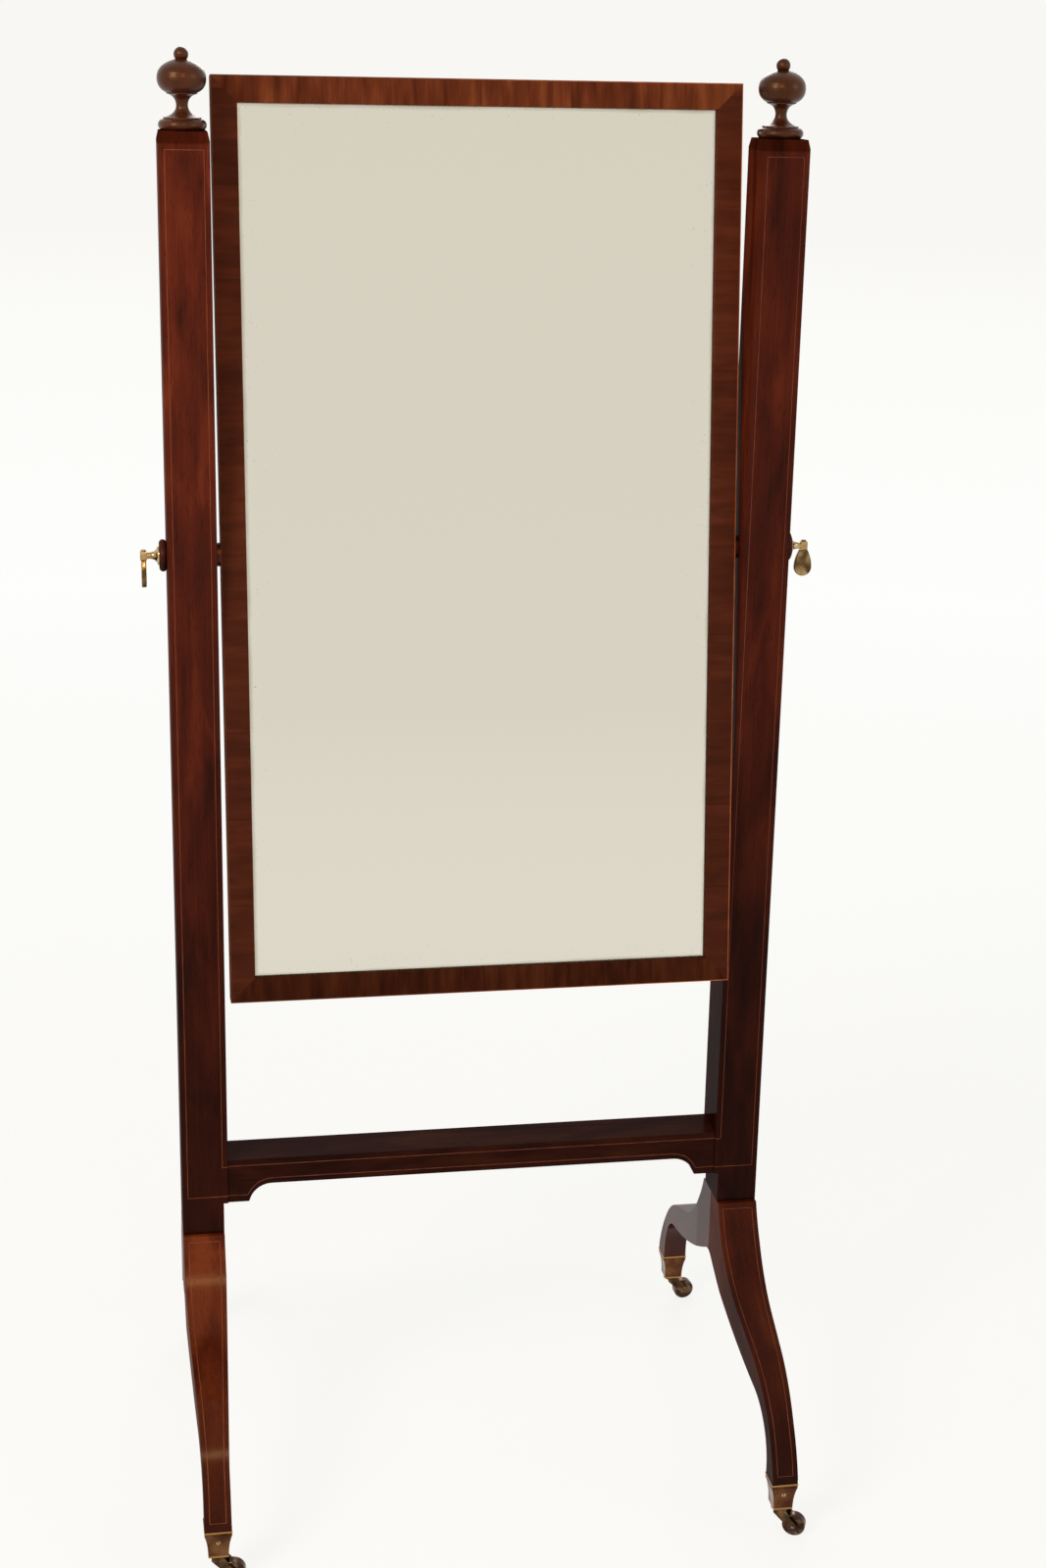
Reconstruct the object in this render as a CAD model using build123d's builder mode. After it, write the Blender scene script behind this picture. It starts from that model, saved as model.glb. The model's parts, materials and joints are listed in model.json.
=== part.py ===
from build123d import *
from math import cos, radians, sin
import os

os.makedirs("parts", exist_ok=True)

# Cheval mirror: X to the right, Y to the back, Z up, floor at Z = 0, all in millimetres.
# Posts
post_spacing = 600.0
post_width = 50.0
post_depth = 55.0
post_top_z = 1458.0
head_height = 9.0
head_inset = 2.0
leg_joint_z = 282.0
base_step = 5.0
post_arris = 0.8
post_tenon_width = 20.0
post_tenon_depth = 26.0
post_tenon_length = 45.0

# Cross rail with bracket ends
base_height = 35.5
rail_height = 30.0
rail_thickness = 51.0
bracket_drop = 20.5
bracket_flat = 23.2
bracket_reach = 48.0
bracket_radius = 25.2
bracket_corner = 1.5
rail_arris = 0.6
rail_tenon_length = 30.0
rail_tenon_height = 34.0
rail_tenon_thickness = 16.0

# Legs
leg_ledge = 5.5
leg_fall_angle = 22.0
leg_upper_radius = 160.0
leg_lower_radius = 157.0
leg_bend_angle = 48.0
leg_toe_turn = 53.0
leg_toe_rise = 6.3
leg_crown_drop = 75.0
leg_crown_radius = 22.0
leg_crown_turn = 28.0
leg_knee_radius = 68.0
leg_knee_turn = 75.6
leg_taper_start = 55.0
toe_splay = 1.0
toe_y = 258.0
toe_width = 28.0
toe_depth = 27.0
toe_tenon_top_width = 22.0
toe_tenon_foot_width = 15.6
toe_tenon_length = 27.5

# Brass toe caps
cap_height = 32.5
cap_foot_width = 21.3
cap_floor = 4.0
cap_rim_band = 2.2
cap_rim_proud = 0.6
cap_waist = 1.0
cap_screw_radius = 1.5
cap_screw_head_radius = 2.4
cap_screw_head = 1.5
cap_screw_shank = 9.0
cap_screw_rise = 18.0

# Castors
wheel_radius = 12.5
wheel_width = 11.0
wheel_hub_radius = 5.0
wheel_hub_proud = 0.3
wheel_tread_round = 1.6
castor_trail = 16.0
castor_plate_radius = 10.0
castor_plate = 3.0
swivel_pin_radius = 3.0
swivel_head_radius = 4.4
swivel_head = 2.2
horn_arm = 2.5
horn_arm_gap = 0.3
horn_boss_radius = 4.5
horn_arm_length = 12.0
axle_radius = 2.0
axle_head = 0.7
wheel_crown_gap = 5.2
castor_turns = {"front_left": -10.0, "front_right": -25.0, "rear_left": 12.0, "rear_right": 5.0}

# Turned finials
finial_bead_radius = 23.5
finial_bead_seat = 19.5
finial_bead_height = 10.4
finial_step_radius = 18.5
finial_step_height = 2.0
finial_throat_radius = 16.0
finial_neck_radius = 6.25
finial_neck_rise = 14.6
finial_lip_radius = 14.9
finial_lip_rise = 7.3
finial_lip_edge = 0.9
onion_radius = 23.8
onion_rise = 13.4
onion_top_radius = 6.3
onion_top_rise = 17.7
ball_radius = 7.1
ball_sink = 4.6
finial_dowel_radius = 6.0
finial_dowel_length = 24.0

# Pivots, collars and drop handles
pivot_z = 1038.5
bush_radius = 6.0
screw_radius = 4.0
screw_reach = 11.5
collar_radius = 16.5
collar_face_radius = 13.5
collar_thickness = 7.5
trumpet_radius = 10.15
trumpet_rim = 1.2
trumpet_length = 9.2
spindle_radius = 3.4
spindle_length = 2.8
knuckle_width = 7.0
knuckle_height = 9.0
knuckle_round = 1.0
stem_radius = 1.4
stem_head_radius = 2.6
stem_head = 1.2
leaf_neck = 9.0
leaf_width = 18.9
leaf_length = 28.2
leaf_thickness = 5.0
leaf_round = 1.2
leaf_turns = {"left": 90.0, "right": 0.0}

# Swing frame, glass and back
frame_side_gap = 4.5
frame_height = 947.0
frame_face = 26.0
frame_thickness = 22.0
frame_arris = 1.2
frame_tilt = 6.44
glass_recess = 6.0
glass_thickness = 4.0
glass_lap = 6.0
glass_rabbet = 8.0
board_thickness = 6.0
board_rabbet = 14.0
board_screw_inset = 3.0
wood_screw_radius = 1.5
wood_screw_head_radius = 2.8
wood_screw_head = 1.2
board_screw_length = 12.0
board_screw_end = 350.0
board_screw_middle = 150.0
block_length = 40.0
block_spread_x = 150.0
block_spread_z = 250.0
plate_length = 60.0
plate_width = 14.0
plate_thickness = 3.0
plate_screw_spacing = 44.0
plate_screw_length = 12.0
washer_radius = 12.2

# Fits and clearances
press_fit = 0.02
joint_fit = 0.1
running_fit = 0.05
moving_gap = 0.3
bore_gap = 1.0

# Places worked out from the sizes above
post_x = post_spacing / 2
post_inner_x = post_x - post_width / 2
post_outer_x = post_x + post_width / 2
head_z = post_top_z - head_height
bracket_z = leg_joint_z + base_height
rail_bottom_z = bracket_z + bracket_drop
rail_top_z = rail_bottom_z + rail_height
leg_crown_z = leg_joint_z - leg_crown_drop
base_x = post_x + base_step / 2
base_width = post_width - base_step
toe_x = base_x + toe_splay
castor_drop = 2 * wheel_radius + wheel_crown_gap + castor_plate + moving_gap
cap_top_z = castor_drop + cap_height
leg_taper_end = toe_y - toe_depth / 2
cap_screw_z = castor_drop + cap_screw_rise
tenon_flare = (toe_tenon_top_width - toe_tenon_foot_width) / toe_tenon_length
tenon_foot_z = cap_top_z - toe_tenon_length
screw_tenon_width = toe_tenon_foot_width + tenon_flare * (cap_screw_z + cap_screw_head_radius - tenon_foot_z)
cap_screw_seat = screw_tenon_width / 2 + joint_fit
fork_top_z = castor_drop - moving_gap
fork_under_z = fork_top_z - castor_plate
arm_inner = wheel_width / 2 + wheel_hub_proud + horn_arm_gap
arm_outer = arm_inner + horn_arm
half_width = post_inner_x - frame_side_gap
half_height = frame_height / 2
sight_x = half_width - frame_face
sight_z = half_height - frame_face
front = frame_thickness / 2
glass_front = front - glass_recess
glass_back = glass_front - glass_thickness
board_back = glass_back - board_thickness
trumpet_x = post_outer_x + collar_thickness + moving_gap
knuckle_x = trumpet_x + trumpet_length + spindle_length
handle_x = knuckle_x + knuckle_width / 2
lean = radians(frame_tilt)
swing_plane = Plane(origin=(0, 0, pivot_z), x_dir=(1, 0, 0), z_dir=(0, -cos(lean), sin(lean)))
pivot_line = Axis((0, 0, pivot_z), (1, 0, 0))
sides = {"left": -1, "right": 1}
corners = {
    "front_left": (-1, -1),
    "front_right": (1, -1),
    "rear_left": (-1, 1),
    "rear_right": (1, 1),
}


def save(piece, label):
    piece.part.label = label
    export_step(piece.part, f"parts/{label}.step")


def pivot_section(side):
    # Local x runs outward from the centre of the mirror, local y is height above the pivot.
    return Plane(origin=(0, 0, pivot_z), x_dir=(side, 0, 0), z_dir=(0, -side, 0))


def stile_edge(side):
    # Outer edge of a stile: local x runs up the leaning frame.
    return Plane(
        origin=(side * half_width, 0, pivot_z),
        x_dir=(0, sin(lean), cos(lean)),
        z_dir=(side, 0, 0),
    )


# Posts
for name, side in sides.items():
    with BuildPart() as post:
        with BuildSketch(Plane.XY.offset(bracket_z)):
            with Locations((side * post_x, 0)):
                RectangleRounded(post_width, post_depth, post_arris)
        extrude(amount=head_z - bracket_z)
        with BuildSketch(Plane.XY.offset(head_z)):
            with Locations((side * post_x, 0)):
                RectangleRounded(post_width, post_depth, post_arris)
        with BuildSketch(Plane.XY.offset(post_top_z)):
            with Locations((side * post_x, 0)):
                RectangleRounded(post_width - 2 * head_inset, post_depth - 2 * head_inset, post_arris)
        loft()
        # narrower block under the bracket, and the tenon let into the pair of legs
        with BuildSketch(Plane.XY.offset(leg_joint_z)):
            with Locations((side * base_x, 0)):
                RectangleRounded(base_width, post_depth, post_arris)
        extrude(amount=bracket_z - leg_joint_z)
        with BuildSketch(Plane.XY.offset(leg_joint_z)):
            with Locations((side * base_x, 0)):
                Rectangle(post_tenon_width, post_tenon_depth)
        extrude(amount=-post_tenon_length)
        # mortise for the rail
        with BuildSketch(Plane.YZ.offset(side * post_inner_x)):
            with Locations((0, (rail_top_z + bracket_z) / 2)):
                Rectangle(rail_tenon_thickness + 2 * joint_fit, rail_tenon_height + 2 * joint_fit)
        extrude(amount=side * (rail_tenon_length + joint_fit), mode=Mode.SUBTRACT)
        # bore for the bush, right through the post
        with BuildSketch(Plane.YZ.offset(side * post_inner_x)):
            with Locations((0, pivot_z)):
                Circle(bush_radius + press_fit)
        extrude(amount=side * post_width, mode=Mode.SUBTRACT)
        # dowel hole for the finial
        with BuildSketch(Plane.XY.offset(post_top_z)):
            with Locations((side * post_x, 0)):
                Circle(finial_dowel_radius + joint_fit)
        extrude(amount=-(finial_dowel_length + joint_fit), mode=Mode.SUBTRACT)
    save(post, f"{name}_post")

# Finials: bead, fillet, drawn-in neck, onion and ball, turned in one piece with the dowel
for name, side in sides.items():
    step_z = finial_bead_height + finial_step_height
    neck_z = step_z + finial_neck_rise
    lip_z = neck_z + finial_lip_rise
    onion_foot_z = lip_z + finial_lip_edge
    onion_z = onion_foot_z + onion_rise
    onion_top_z = onion_z + onion_top_rise
    ball_z = onion_top_z + ball_sink
    ball_foot_radius = (ball_radius**2 - ball_sink**2) ** 0.5
    with BuildPart() as finial:
        with BuildSketch(Plane(origin=(side * post_x, 0, post_top_z), z_dir=(0, -1, 0), x_dir=(1, 0, 0))):
            with BuildLine():
                Polyline(
                    (0, -finial_dowel_length),
                    (finial_dowel_radius, -finial_dowel_length),
                    (finial_dowel_radius, 0),
                    (finial_bead_seat, 0),
                )
                ThreePointArc(
                    (finial_bead_seat, 0),
                    (finial_bead_radius, finial_bead_height / 2),
                    (finial_bead_seat, finial_bead_height),
                )
                Polyline(
                    (finial_bead_seat, finial_bead_height),
                    (finial_step_radius, finial_bead_height),
                    (finial_step_radius, step_z),
                    (finial_throat_radius, step_z),
                )
                Spline(
                    (finial_throat_radius, step_z),
                    (finial_neck_radius, neck_z),
                    (finial_lip_radius, lip_z),
                    tangents=[(-1, 0.35), (1, 0.25)],
                )
                Line((finial_lip_radius, lip_z), (finial_lip_radius, onion_foot_z))
                Spline(
                    (finial_lip_radius, onion_foot_z),
                    (onion_radius, onion_z),
                    (onion_top_radius, onion_top_z),
                    tangents=[(1, 0.45), (-1, 0.3)],
                )
                Line((onion_top_radius, onion_top_z), (ball_foot_radius, onion_top_z))
                ThreePointArc(
                    (ball_foot_radius, onion_top_z),
                    (ball_radius, ball_z),
                    (0, ball_z + ball_radius),
                )
                Line((0, ball_z + ball_radius), (0, -finial_dowel_length))
            make_face()
        revolve(axis=Axis((side * post_x, 0, 0), (0, 0, 1)))
    save(finial, f"{name}_finial")

# Cross rail: flat top, and bracket ends that drop in a cove to a flat foot beside each post
with BuildPart() as rail:
    cove_end_x = post_inner_x - bracket_flat
    cove_start_x = post_inner_x - bracket_reach
    with BuildSketch(Plane.XZ) as rail_face:
        with BuildLine():
            Line((0, rail_top_z), (post_inner_x, rail_top_z))
            Line((post_inner_x, rail_top_z), (post_inner_x, bracket_z))
            Line((post_inner_x, bracket_z), (cove_end_x, bracket_z))
            RadiusArc((cove_end_x, bracket_z), (cove_start_x, rail_bottom_z), -bracket_radius)
            Line((cove_start_x, rail_bottom_z), (0, rail_bottom_z))
            Line((0, rail_bottom_z), (0, rail_top_z))
        make_face()
        fillet(rail_face.vertices().sort_by(Axis.Y)[:2].sort_by(Axis.X)[0], bracket_corner)
        mirror(about=Plane.YZ)
    extrude(amount=rail_thickness / 2, both=True)
    rail_faces = rail.faces().sort_by(Axis.Y)
    fillet(rail_faces[0].edges() + rail_faces[-1].edges(), rail_arris)
    for side in sides.values():
        with BuildSketch(Plane.YZ.offset(side * post_inner_x)):
            with Locations((0, (rail_top_z + bracket_z) / 2)):
                Rectangle(rail_tenon_thickness, rail_tenon_height)
        extrude(amount=side * rail_tenon_length)
save(rail, "cross_rail")


def leg_outline(plane):
    # Side view of one leg: local x runs out from the post's centre, local y is height.
    heel = (post_depth / 2 + leg_ledge, leg_joint_z)
    toe_front = toe_y + toe_depth / 2
    toe_back = toe_y - toe_depth / 2
    toe_z = cap_top_z + leg_toe_rise
    fall = radians(leg_fall_angle)
    toe_fall = radians(leg_fall_angle + leg_bend_angle - leg_toe_turn)
    with BuildSketch(plane) as outline:
        with BuildLine():
            Line((0, leg_joint_z), heel)
            upper = JernArc(heel, (sin(fall), -cos(fall)), leg_upper_radius, leg_bend_angle)
            lower = JernArc((toe_front, toe_z), (-sin(toe_fall), cos(toe_fall)), leg_lower_radius, leg_toe_turn)
            Line(upper @ 1, lower @ 1)
            Polyline((toe_front, toe_z), (toe_front, cap_top_z), (toe_back, cap_top_z), (toe_back, toe_z))
            knee = JernArc((toe_back, toe_z), (0, 1), leg_knee_radius, leg_knee_turn)
            crown = JernArc((0, leg_crown_z), (1, 0), leg_crown_radius, -leg_crown_turn)
            TangentArc(crown @ 1, knee @ 1, tangent=crown % 1)
            Line((0, leg_crown_z), (0, leg_joint_z))
        make_face()
    return outline.sketch


# Legs: the side view cut by the plan view, which tapers towards the toe
for name, (side, end) in corners.items():
    inner_x = base_x - base_width / 2
    outer_x = base_x + base_width / 2
    with BuildPart() as leg:
        side_view = Plane(origin=(side * post_x, 0, 0), x_dir=(0, end, 0), z_dir=(end, 0, 0))
        extrude(leg_outline(side_view), amount=post_width, both=True)
        with BuildSketch(Plane.XY):
            with BuildLine():
                Polyline(
                    (side * inner_x, 0),
                    (side * inner_x, end * leg_taper_start),
                    (side * (toe_x - toe_width / 2), end * leg_taper_end),
                    (side * (toe_x - toe_width / 2), end * (toe_y + toe_depth)),
                    (side * (toe_x + toe_width / 2), end * (toe_y + toe_depth)),
                    (side * (toe_x + toe_width / 2), end * leg_taper_end),
                    (side * outer_x, end * leg_taper_start),
                    (side * outer_x, 0),
                    close=True,
                )
            make_face()
        extrude(amount=leg_joint_z, mode=Mode.INTERSECT)
        # tapered tenon that the brass cap is pushed on to
        with BuildSketch(Plane.XY.offset(cap_top_z)):
            with Locations((side * toe_x, end * toe_y)):
                Rectangle(toe_tenon_top_width, toe_tenon_top_width)
        with BuildSketch(Plane.XY.offset(tenon_foot_z)):
            with Locations((side * toe_x, end * toe_y)):
                Rectangle(toe_tenon_foot_width, toe_tenon_foot_width)
        loft()
        # room for the riveted head of the swivel pin, and the hole for the cap's screw
        with BuildSketch(Plane.XY.offset(tenon_foot_z)):
            with Locations((side * toe_x, end * toe_y)):
                Circle(swivel_head_radius + bore_gap)
        extrude(amount=swivel_head + 2 * moving_gap, mode=Mode.SUBTRACT)
        with BuildSketch(Plane.XZ.offset(-end * toe_y)):
            with Locations((side * toe_x, cap_screw_z)):
                Circle(cap_screw_radius + press_fit)
        extrude(amount=-end * toe_depth, mode=Mode.SUBTRACT)
        # half of the mortise for the post's tenon
        with BuildSketch(Plane.XY.offset(leg_joint_z)):
            with Locations((side * base_x, 0)):
                Rectangle(post_tenon_width + 2 * joint_fit, post_tenon_depth + 2 * joint_fit)
        extrude(amount=-(post_tenon_length + joint_fit), mode=Mode.SUBTRACT)
    save(leg, f"{name}_leg")


def cap_outline(plane, top_width, foot_width):
    # Waisted outline with two raised bands under the rim: local x across, local y is height.
    half_top = top_width / 2
    half_foot = foot_width / 2
    band_z = cap_top_z - cap_rim_band
    second_z = band_z - cap_rim_band
    waist_top_z = second_z - cap_rim_band / 2
    waist_middle = ((half_foot + half_top) / 2 - cap_waist, (castor_drop + waist_top_z) / 2)
    with BuildSketch(plane) as outline:
        with BuildLine():
            Line((0, castor_drop), (half_foot, castor_drop))
            ThreePointArc((half_foot, castor_drop), waist_middle, (half_top, waist_top_z))
            Polyline(
                (half_top, waist_top_z),
                (half_top + cap_rim_proud / 2, waist_top_z),
                (half_top + cap_rim_proud / 2, second_z),
                (half_top, second_z),
                (half_top, band_z),
                (half_top + cap_rim_proud, band_z),
                (half_top + cap_rim_proud, cap_top_z),
                (0, cap_top_z),
                (0, castor_drop),
            )
        make_face()
        mirror(about=Plane.YZ)
    return outline.sketch


# Brass toe caps
for name, (side, end) in corners.items():
    with BuildPart() as cap:
        toe = (side * toe_x, end * toe_y, 0)
        front_view = Plane(origin=toe, x_dir=(1, 0, 0), z_dir=(0, -1, 0))
        side_view = Plane(origin=toe, x_dir=(0, 1, 0), z_dir=(1, 0, 0))
        extrude(cap_outline(front_view, toe_width, cap_foot_width), amount=toe_depth, both=True)
        extrude(
            cap_outline(side_view, toe_depth, cap_foot_width),
            amount=toe_width,
            both=True,
            mode=Mode.INTERSECT,
        )
        # tapered socket for the leg's tenon
        with BuildSketch(Plane.XY.offset(cap_top_z)):
            with Locations((side * toe_x, end * toe_y)):
                Rectangle(toe_tenon_top_width + 2 * joint_fit, toe_tenon_top_width + 2 * joint_fit)
        with BuildSketch(Plane.XY.offset(castor_drop + cap_floor)):
            with Locations((side * toe_x, end * toe_y)):
                Rectangle(toe_tenon_foot_width + 2 * joint_fit, toe_tenon_foot_width + 2 * joint_fit)
        loft(mode=Mode.SUBTRACT)
        # bore for the swivel pin, and the hole for the screw in the front face
        with BuildSketch(Plane.XY.offset(castor_drop)):
            with Locations((side * toe_x, end * toe_y)):
                Circle(swivel_pin_radius + running_fit)
        extrude(amount=cap_floor, mode=Mode.SUBTRACT)
        with BuildSketch(Plane.XZ.offset(-end * toe_y)):
            with Locations((side * toe_x, cap_screw_z)):
                Circle(cap_screw_radius + press_fit)
        extrude(amount=-end * toe_depth, mode=Mode.SUBTRACT)
        with BuildSketch(Plane.XZ.offset(-end * (toe_y + cap_screw_seat))):
            with Locations((side * toe_x, cap_screw_z)):
                Circle(cap_screw_head_radius + press_fit)
        extrude(amount=-end * toe_depth, mode=Mode.SUBTRACT)
    save(cap, f"{name}_cap")

# Screws through the front of the caps, one in each
with BuildPart() as cap_screws:
    for side, end in corners.values():
        with BuildSketch(Plane.XZ.offset(-end * (toe_y + cap_screw_seat))):
            with Locations((side * toe_x, cap_screw_z)):
                Circle(cap_screw_radius)
        extrude(amount=end * cap_screw_shank)
        with BuildSketch(Plane.XZ.offset(-end * (toe_y + cap_screw_seat))):
            with Locations((side * toe_x, cap_screw_z)):
                Circle(cap_screw_head_radius)
        extrude(amount=-end * cap_screw_head)
save(cap_screws, "cap_screws")

# Castors: each trails in its own direction, so it is drawn in a plane of its own
for name, (side, end) in corners.items():
    turn = radians(castor_turns[name])
    trail_direction = (cos(turn), sin(turn), 0)
    across = (sin(turn), -cos(turn), 0)
    swivel = (side * toe_x, end * toe_y, 0)
    level = Plane(origin=swivel, x_dir=trail_direction, z_dir=(0, 0, 1))
    upright = Plane(origin=swivel, x_dir=trail_direction, z_dir=across)
    hub = level.from_local_coords((castor_trail, 0, wheel_radius))
    axle_line = Axis(hub, across)

    with BuildPart() as horn:
        with BuildSketch(level.offset(fork_under_z)):
            Circle(castor_plate_radius)
        extrude(amount=castor_plate)
        with BuildSketch(level.offset(fork_top_z)):
            Circle(swivel_pin_radius)
        extrude(amount=moving_gap + cap_floor + moving_gap)
        with BuildSketch(level.offset(castor_drop + cap_floor + moving_gap)):
            Circle(swivel_head_radius)
        extrude(amount=swivel_head)
        for arm_start in (arm_inner, -arm_outer):
            with BuildSketch(upright.offset(arm_start)):
                with Locations((castor_trail, wheel_radius)):
                    Circle(horn_boss_radius)
                with Locations((0, fork_under_z - castor_plate / 2)):
                    Rectangle(horn_arm_length, castor_plate)
                make_hull()
                with Locations((castor_trail, wheel_radius)):
                    Circle(axle_radius + press_fit, mode=Mode.SUBTRACT)
            extrude(amount=horn_arm)
    save(horn, f"{name}_castor_horn")

    with BuildPart() as axle:
        with BuildSketch(upright.offset(-(arm_outer + axle_head))):
            with Locations((castor_trail, wheel_radius)):
                Circle(axle_radius)
        extrude(amount=2 * (arm_outer + axle_head))
    save(axle, f"{name}_castor_axle")

    with BuildPart() as wheel:
        with BuildSketch(upright):
            with Locations((castor_trail, wheel_radius)):
                Circle(wheel_radius)
        extrude(amount=wheel_width / 2, both=True)
        fillet(wheel.edges().filter_by(GeomType.CIRCLE), wheel_tread_round)
        with BuildSketch(upright):
            with Locations((castor_trail, wheel_radius)):
                Circle(wheel_hub_radius)
        extrude(amount=wheel_width / 2 + wheel_hub_proud, both=True)
        with BuildSketch(upright):
            with Locations((castor_trail, wheel_radius)):
                Circle(axle_radius + running_fit)
        extrude(amount=wheel_width, both=True, mode=Mode.SUBTRACT)
    save(wheel, f"{name}_castor_wheel")

# Pivots: a bush through each post, a turned collar outside it and a washer inside it
for name, side in sides.items():
    with BuildPart() as bush:
        with BuildSketch(Plane.YZ.offset(side * post_inner_x)):
            with Locations((0, pivot_z)):
                Circle(bush_radius)
                Circle(screw_radius + running_fit, mode=Mode.SUBTRACT)
        extrude(amount=side * post_width)
    save(bush, f"{name}_post_bush")

    with BuildPart() as collar:
        with BuildSketch(pivot_section(side)):
            with BuildLine():
                Polyline(
                    (post_outer_x, collar_face_radius),
                    (post_outer_x, screw_radius + moving_gap),
                    (post_outer_x + collar_thickness, screw_radius + moving_gap),
                    (post_outer_x + collar_thickness, collar_face_radius),
                )
                ThreePointArc(
                    (post_outer_x + collar_thickness, collar_face_radius),
                    (post_outer_x + collar_thickness / 2, collar_radius),
                    (post_outer_x, collar_face_radius),
                )
            make_face()
        revolve(axis=pivot_line)
    save(collar, f"{name}_pivot_collar")

    with BuildPart() as washer:
        with BuildSketch(Plane.YZ.offset(side * half_width)):
            with Locations((0, pivot_z)):
                Circle(washer_radius)
                Circle(screw_radius + moving_gap, mode=Mode.SUBTRACT)
        extrude(amount=side * (post_inner_x - half_width - moving_gap))
    save(washer, f"{name}_pivot_washer")

    # Thumb screw: shank, trumpet-shaped neck, spindle and knuckle
    with BuildPart() as thumb_screw:
        with BuildSketch(pivot_section(side)):
            with BuildLine():
                Polyline(
                    (trumpet_x + trumpet_length, spindle_radius),
                    (knuckle_x + knuckle_width / 2, spindle_radius),
                    (knuckle_x + knuckle_width / 2, 0),
                    (half_width - screw_reach, 0),
                    (half_width - screw_reach, screw_radius),
                    (trumpet_x, screw_radius),
                    (trumpet_x, trumpet_radius),
                    (trumpet_x + trumpet_rim, trumpet_radius),
                )
                Spline(
                    (trumpet_x + trumpet_rim, trumpet_radius),
                    (trumpet_x + trumpet_length, spindle_radius),
                    tangents=[(0.25, -1), (1, 0)],
                )
            make_face()
        revolve(axis=pivot_line)
        with BuildSketch(Plane.YZ.offset(side * knuckle_x)):
            with Locations((0, pivot_z)):
                RectangleRounded(knuckle_width, knuckle_height, knuckle_round)
        extrude(amount=side * knuckle_width)
        with BuildSketch(Plane.XY.offset(pivot_z - knuckle_height)):
            with Locations((side * handle_x, 0)):
                Circle(stem_radius + running_fit)
        extrude(amount=2 * knuckle_height, mode=Mode.SUBTRACT)
    save(thumb_screw, f"{name}_pivot_screw")

    # Drop handle: a leaf on a riveted stem that turns in the knuckle
    face_turn = radians(leaf_turns[name])
    leaf_plane = Plane(
        origin=(side * handle_x, 0, pivot_z),
        x_dir=(cos(face_turn), sin(face_turn), 0),
        z_dir=(sin(face_turn), -cos(face_turn), 0),
    )
    leaf_top = -(knuckle_height / 2 + moving_gap)
    leaf_foot = leaf_top - leaf_length
    with BuildPart() as handle:
        with BuildSketch(leaf_plane):
            with BuildLine():
                Line((-leaf_neck / 2, leaf_top), (leaf_neck / 2, leaf_top))
                Spline(
                    (leaf_neck / 2, leaf_top),
                    (leaf_width / 2, leaf_foot + leaf_width / 2),
                    tangents=[(0.5, -1), (0, -1)],
                )
                ThreePointArc(
                    (leaf_width / 2, leaf_foot + leaf_width / 2),
                    (0, leaf_foot),
                    (-leaf_width / 2, leaf_foot + leaf_width / 2),
                )
                Spline(
                    (-leaf_width / 2, leaf_foot + leaf_width / 2),
                    (-leaf_neck / 2, leaf_top),
                    tangents=[(0, 1), (0.5, 1)],
                )
            make_face()
        extrude(amount=leaf_thickness / 2, both=True)
        fillet(handle.edges().filter_by(GeomType.BSPLINE), leaf_round)
        with BuildSketch(Plane.XY.offset(pivot_z + leaf_top - leaf_thickness)):
            with Locations((side * handle_x, 0)):
                Circle(stem_radius)
        extrude(amount=leaf_thickness + knuckle_height + 2 * moving_gap)
        with BuildSketch(Plane.XY.offset(pivot_z + knuckle_height / 2 + moving_gap)):
            with Locations((side * handle_x, 0)):
                Circle(stem_head_radius)
        extrude(amount=stem_head)
    save(handle, f"{name}_drop_handle")

# Swing frame: four mitred members with a stepped rabbet for the glass and the backboard
member_outlines = {
    "frame_left_stile": [(-1, -1, 0), (-1, 1, 0), (-1, 1, 1), (-1, -1, 1)],
    "frame_right_stile": [(1, -1, 0), (1, 1, 0), (1, 1, 1), (1, -1, 1)],
    "frame_top_rail": [(-1, 1, 0), (1, 1, 0), (1, 1, 1), (-1, 1, 1)],
    "frame_bottom_rail": [(-1, -1, 0), (1, -1, 0), (1, -1, 1), (-1, -1, 1)],
}
board_screw_x = sight_x + board_rabbet - board_screw_inset
board_screw_z = sight_z + board_rabbet - board_screw_inset
board_screw_heights = (-board_screw_end, board_screw_middle, board_screw_end)
board_screw_places = [(x * board_screw_x, z) for x in (-1, 1) for z in board_screw_heights]
board_screw_places += [(x * block_spread_x, z * board_screw_z) for x in (-1, 1) for z in (-1, 1)]
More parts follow.
